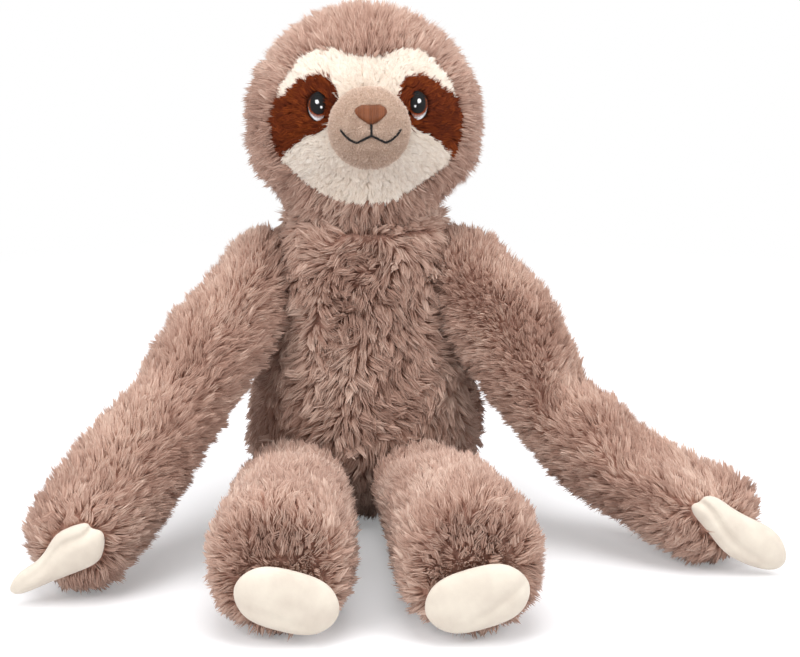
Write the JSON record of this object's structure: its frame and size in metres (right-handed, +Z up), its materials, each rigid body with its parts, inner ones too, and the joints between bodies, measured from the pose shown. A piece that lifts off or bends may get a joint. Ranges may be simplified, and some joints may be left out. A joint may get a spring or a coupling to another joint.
{
  "type": "plush sloth",
  "caption": "Sitting long-limbed plush sloth with a round head, masked face, jointed stuffed arms and legs, and soft cream claws.",
  "frame": {"origin": "middle of the flat underside of the seat, on the surface the toy sits on", "axes": "+Z up, the toy faces -Y, +X is the toy's own left, along the spread of its arms"},
  "size_m": [0.4125, 0.3009, 0.294],
  "materials": {
    "long_pile": "long taupe pile, 8 to 12 mm, in soft tufts",
    "cream_pile": "cream pile, 6 mm, brushed down",
    "brown_pile": "rust-brown pile, 8 mm",
    "muzzle_nap": "short velvety nap",
    "claw_velour": "smooth cream velour",
    "nose_thread": "satin stitch",
    "dark_thread": "satin stitch",
    "white_thread": "satin stitch",
    "iris_thread": "satin stitch",
    "seam_thread": "matt sewing thread",
    "stuffing": "loose polyester fibre",
    "pellet_bag": "plain woven bag of plastic pellets"
  },
  "bodies": {
    "torso": {"torso_front_panel": "long_pile", "torso_back_panel": "long_pile", "torso_stuffing": "stuffing", "seat_pellet_bag": "pellet_bag"},
    "neck_seam": {"neck_seam_thread": "seam_thread"},
    "head": {"head_hood": "long_pile", "brow_panel": "cream_pile", "cheek_panel_right": "cream_pile", "cheek_panel_left": "cream_pile", "eye_patch_right": "brown_pile", "eye_patch_left": "brown_pile", "head_stuffing": "stuffing", "muzzle_cover": "muzzle_nap", "muzzle_stuffing": "stuffing", "nose": "nose_thread", "mouth_stitching": "dark_thread", "eye_white_right": "white_thread", "eye_iris_right": "iris_thread", "eye_pupil_right": "dark_thread", "eye_upper_glint_right": "white_thread", "eye_lower_glint_right": "white_thread", "eye_white_left": "white_thread", "eye_iris_left": "iris_thread", "eye_pupil_left": "dark_thread", "eye_upper_glint_left": "white_thread", "eye_lower_glint_left": "white_thread"},
    "shoulder_seam_right": {"shoulder_seam_thread_right": "seam_thread"},
    "upper_arm_right": {"upper_arm_cover_right": "long_pile", "upper_arm_stuffing_right": "stuffing"},
    "forearm_right": {"forearm_cover_right": "long_pile", "forearm_stuffing_right": "stuffing"},
    "hand_claw_right": {"hand_claw_cover_right": "claw_velour", "hand_claw_padding_right": "stuffing"},
    "hip_seam_right": {"hip_seam_thread_right": "seam_thread"},
    "leg_right": {"leg_cover_right": "long_pile", "leg_stuffing_right": "stuffing"},
    "foot_claw_right": {"foot_claw_cover_right": "claw_velour", "foot_claw_padding_right": "stuffing"},
    "shoulder_seam_left": {"shoulder_seam_thread_left": "seam_thread"},
    "upper_arm_left": {"upper_arm_cover_left": "long_pile", "upper_arm_stuffing_left": "stuffing"},
    "forearm_left": {"forearm_cover_left": "long_pile", "forearm_stuffing_left": "stuffing"},
    "hand_claw_left": {"hand_claw_cover_left": "claw_velour", "hand_claw_padding_left": "stuffing"},
    "hip_seam_left": {"hip_seam_thread_left": "seam_thread"},
    "leg_left": {"leg_cover_left": "long_pile", "leg_stuffing_left": "stuffing"},
    "foot_claw_left": {"foot_claw_cover_left": "claw_velour", "foot_claw_padding_left": "stuffing"}
  },
  "joints": [
    {"name": "neck_turn", "type": "hinge", "parent": "torso", "child": "neck_seam", "pos_m": [0, 0, 0.196], "axis": [0, 0, 1], "range_deg": [-60, 60], "stiffness_Nm_per_rad": 0.2},
    {"name": "head_nod", "type": "hinge", "parent": "neck_seam", "child": "head", "pos_m": [0, 0, 0.196], "axis": [0.9981, 0.0611, 0], "range_deg": [-20, 20], "stiffness_Nm_per_rad": 0.6},
    {"name": "shoulder_swing_right", "type": "hinge", "parent": "torso", "child": "shoulder_seam_right", "pos_m": [-0.057, -0.008, 0.14], "axis": [-1, 0, 0], "range_deg": [-35, 110], "stiffness_Nm_per_rad": 0.2},
    {"name": "shoulder_raise_right", "type": "hinge", "parent": "shoulder_seam_right", "child": "upper_arm_right", "pos_m": [-0.057, -0.008, 0.14], "axis": [0, 1, 0], "range_deg": [-4, 95], "stiffness_Nm_per_rad": 0.2},
    {"name": "elbow_bend_right", "type": "hinge", "parent": "upper_arm_right", "child": "forearm_right", "pos_m": [-0.10837, -0.08863, 0.0743], "axis": [-0.8508, 0.5255, 0], "range_deg": [-10, 90], "stiffness_Nm_per_rad": 0.12},
    {"name": "hand_claw_flap_right", "type": "hinge", "parent": "forearm_right", "child": "hand_claw_right", "pos_m": [-0.13651, -0.17482, 0.0383], "axis": [-0.5446, 0, 0.8387], "range_deg": [0, 30], "stiffness_Nm_per_rad": 0.01},
    {"name": "hip_spread_right", "type": "hinge", "parent": "torso", "child": "hip_seam_right", "pos_m": [-0.037, -0.06, 0.032], "axis": [0, 0, -1], "range_deg": [-3, 18], "stiffness_Nm_per_rad": 0.3},
    {"name": "leg_lift_right", "type": "hinge", "parent": "hip_seam_right", "child": "leg_right", "pos_m": [-0.037, -0.06, 0.032], "axis": [-1, 0, 0], "range_deg": [-80, 25], "stiffness_Nm_per_rad": 0.3},
    {"name": "foot_claw_flap_right", "type": "hinge", "parent": "leg_right", "child": "foot_claw_right", "pos_m": [-0.03625, -0.22787, 0.04024], "axis": [-0.9848, 0, 0.1736], "range_deg": [0, 20], "stiffness_Nm_per_rad": 0.01},
    {"name": "shoulder_swing_left", "type": "hinge", "parent": "torso", "child": "shoulder_seam_left", "pos_m": [0.057, -0.008, 0.14], "axis": [-1, 0, 0], "range_deg": [-15, 130], "stiffness_Nm_per_rad": 0.2},
    {"name": "shoulder_raise_left", "type": "hinge", "parent": "shoulder_seam_left", "child": "upper_arm_left", "pos_m": [0.057, -0.008, 0.14], "axis": [0, -1, 0], "range_deg": [-4, 95], "stiffness_Nm_per_rad": 0.2},
    {"name": "elbow_bend_left", "type": "hinge", "parent": "upper_arm_left", "child": "forearm_left", "pos_m": [0.12419, -0.05505, 0.05798], "axis": [-0.6018, -0.7986, 0], "range_deg": [-10, 90], "stiffness_Nm_per_rad": 0.12},
    {"name": "hand_claw_flap_left", "type": "hinge", "parent": "forearm_left", "child": "hand_claw_left", "pos_m": [0.18855, -0.12705, 0.0383], "axis": [-0.5446, 0, -0.8387], "range_deg": [0, 30], "stiffness_Nm_per_rad": 0.01},
    {"name": "hip_spread_left", "type": "hinge", "parent": "torso", "child": "hip_seam_left", "pos_m": [0.037, -0.06, 0.032], "axis": [0, 0, 1], "range_deg": [-3, 38], "stiffness_Nm_per_rad": 0.3},
    {"name": "leg_lift_left", "type": "hinge", "parent": "hip_seam_left", "child": "leg_left", "pos_m": [0.037, -0.06, 0.032], "axis": [-1, 0, 0], "range_deg": [-80, 25], "stiffness_Nm_per_rad": 0.3},
    {"name": "foot_claw_flap_left", "type": "hinge", "parent": "leg_left", "child": "foot_claw_left", "pos_m": [0.05545, -0.22625, 0.04024], "axis": [-0.9848, 0, -0.1736], "range_deg": [0, 20], "stiffness_Nm_per_rad": 0.01}
  ]
}
